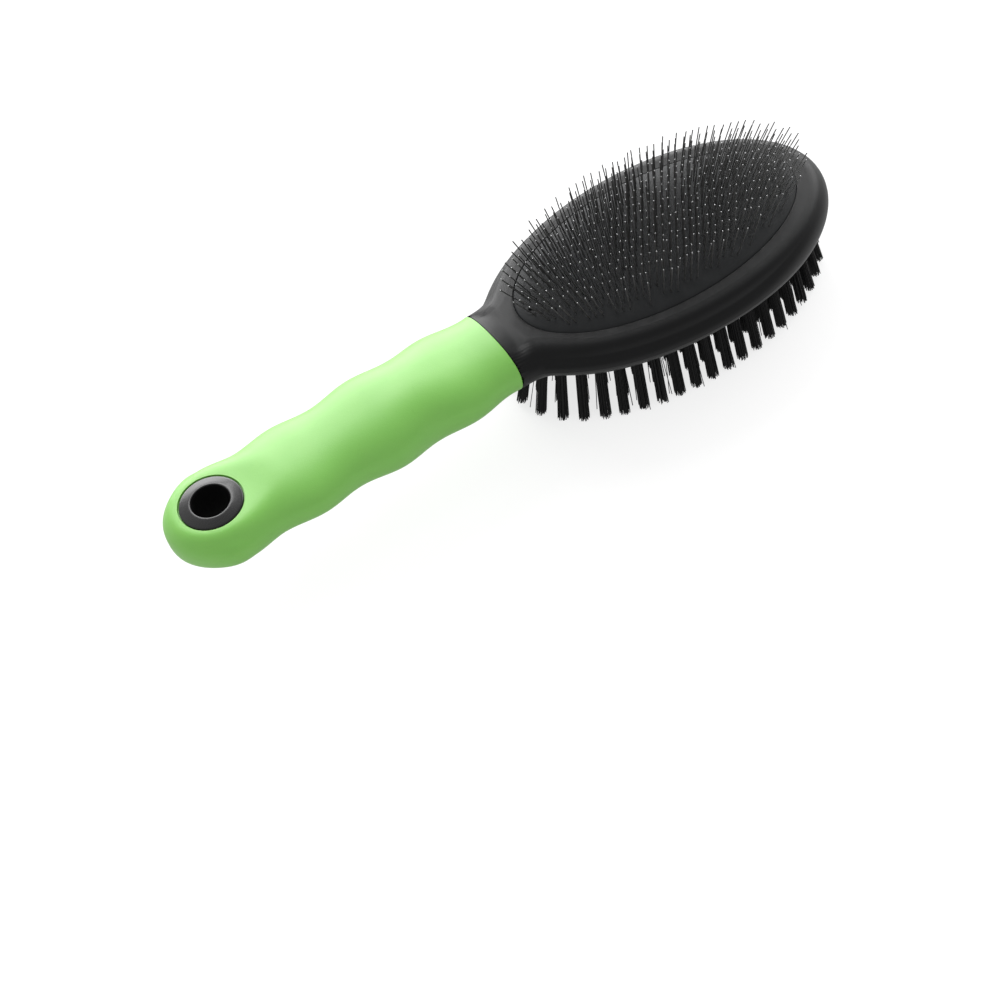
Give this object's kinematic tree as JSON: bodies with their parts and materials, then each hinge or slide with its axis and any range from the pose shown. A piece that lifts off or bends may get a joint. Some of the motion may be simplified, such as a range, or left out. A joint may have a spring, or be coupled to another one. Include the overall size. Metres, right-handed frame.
{
  "type": "double-sided pet grooming brush",
  "caption": "Double-sided pet brush: sprung pad of wire pins on one side, nylon tufts on the other, soft waved grip with a hanging hole.",
  "frame": {"origin": "centre of the hanging hole at half thickness", "axes": "+X along the handle to the head's tip, +Z out of the pin side along the hanging hole, +Y across the head"},
  "size_m": [0.2176, 0.0674, 0.0471],
  "materials": {
    "shell": "satin black moulded plastic with a fine spark grain",
    "grip": "soft-touch light green thermoplastic rubber",
    "ring": "glossy black plastic",
    "cushion": "matte dark rubber",
    "backing": "woven cotton backing",
    "pin_wire": "drawn stainless steel wire",
    "filament": "black nylon filament",
    "anchor_wire": "flat drawn anchor wire"
  },
  "bodies": {
    "brush_body": {"pin_side_shell": "shell", "bristle_side_shell": "shell", "grip_sleeve": "grip", "hang_ring_pin_side": "ring", "hang_ring_bristle_side": "ring", "cushion_tray": "shell", "tufts_ring_1": "filament", "tufts_ring_2": "filament", "tufts_ring_3": "filament", "tufts_ring_4": "filament", "tufts_row": "filament", "tuft_anchors_ring_1": "anchor_wire", "tuft_anchors_ring_2": "anchor_wire", "tuft_anchors_ring_3": "anchor_wire", "tuft_anchors_ring_4": "anchor_wire", "tuft_anchors_row": "anchor_wire"},
    "pin_pad": {"pin_cushion": "cushion", "cushion_backing": "backing", "pin_staples_neck": "pin_wire", "pin_staples_heel": "pin_wire", "pin_staples_toe": "pin_wire", "pin_staples_tip": "pin_wire"}
  },
  "joints": [
    {"name": "pin_pad_press", "type": "slide", "parent": "brush_body", "child": "pin_pad", "axis": [0, 0, -1], "range_m": [0, 0.002], "stiffness_N_per_m": 1500, "deforming": ["pin_cushion"]}
  ]
}
